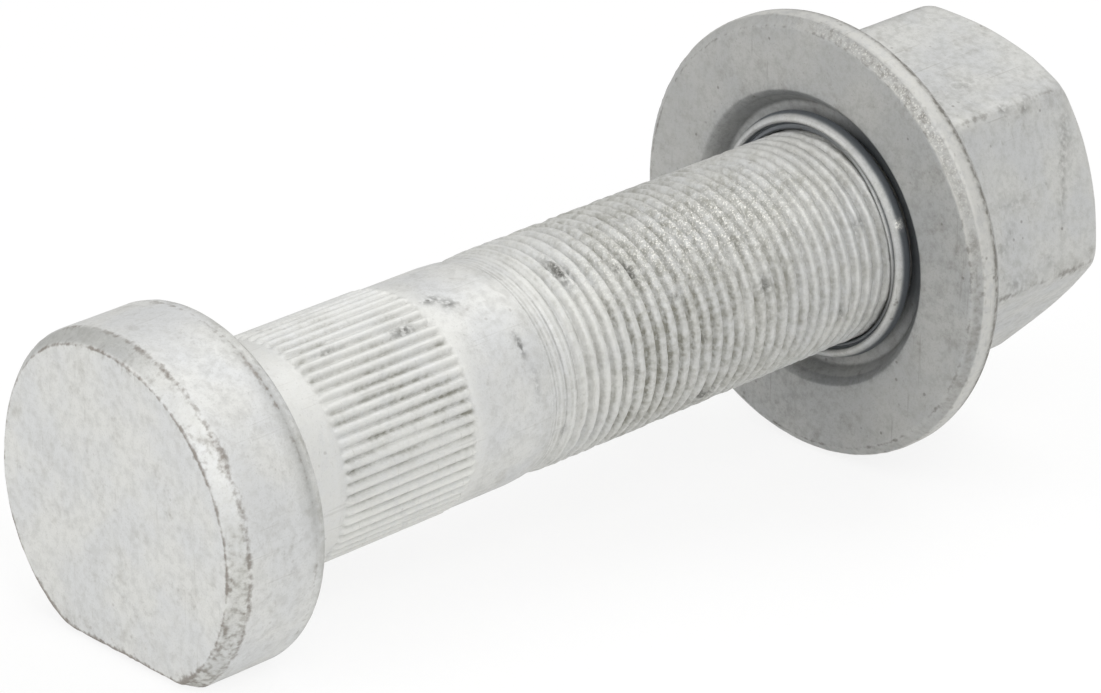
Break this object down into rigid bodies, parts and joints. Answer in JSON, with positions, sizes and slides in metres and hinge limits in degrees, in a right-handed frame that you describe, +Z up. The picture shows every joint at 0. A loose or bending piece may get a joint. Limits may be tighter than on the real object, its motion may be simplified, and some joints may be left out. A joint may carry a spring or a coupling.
{
  "type": "wheel bolt",
  "caption": "Press-in wheel bolt with a bevelled D-shaped head, straight serrations and a fine thread, carrying a hexagon nut with a captive thrust washer.",
  "frame": {"origin": "under the middle of the set's box, on the surface that it lies on", "axes": "+Z up; +X in plan from the bolt's head to its nut; the bolt's axis rises 5.8 degrees from head to nut, because the set lies on the head's flat and on the washer's rim"},
  "size_m": [0.1186, 0.046, 0.046],
  "materials": {
    "bolt_coating": "light grey zinc-flake coating over forged steel, matt, worn on the edges",
    "nut_coating": "light grey zinc-flake coating over forged steel, matt, dusty",
    "washer_coating": "grey zinc-flake coating over turned steel, matt, worn on the front bevel"
  },
  "bodies": {
    "bolt": {"wheel_bolt": "bolt_coating"},
    "washer": {"thrust_washer": "washer_coating"},
    "nut": {"wheel_nut": "nut_coating"}
  },
  "joints": [
    {"name": "washer_travel", "type": "slide", "parent": "bolt", "child": "washer", "axis": [0.9948, 0, 0.1015], "range_m": [-0.042, 0.018]},
    {"name": "nut_turn", "type": "hinge", "parent": "washer", "child": "nut", "pos_m": [0.03196, 0, 0.02279], "axis": [0.9948, 0, 0.1015], "range_deg": [-10100, 4340]}
  ],
  "couplings": [
    {"joint": "nut_turn", "follows": "washer_travel", "rad_per_m": 4188.8}
  ]
}
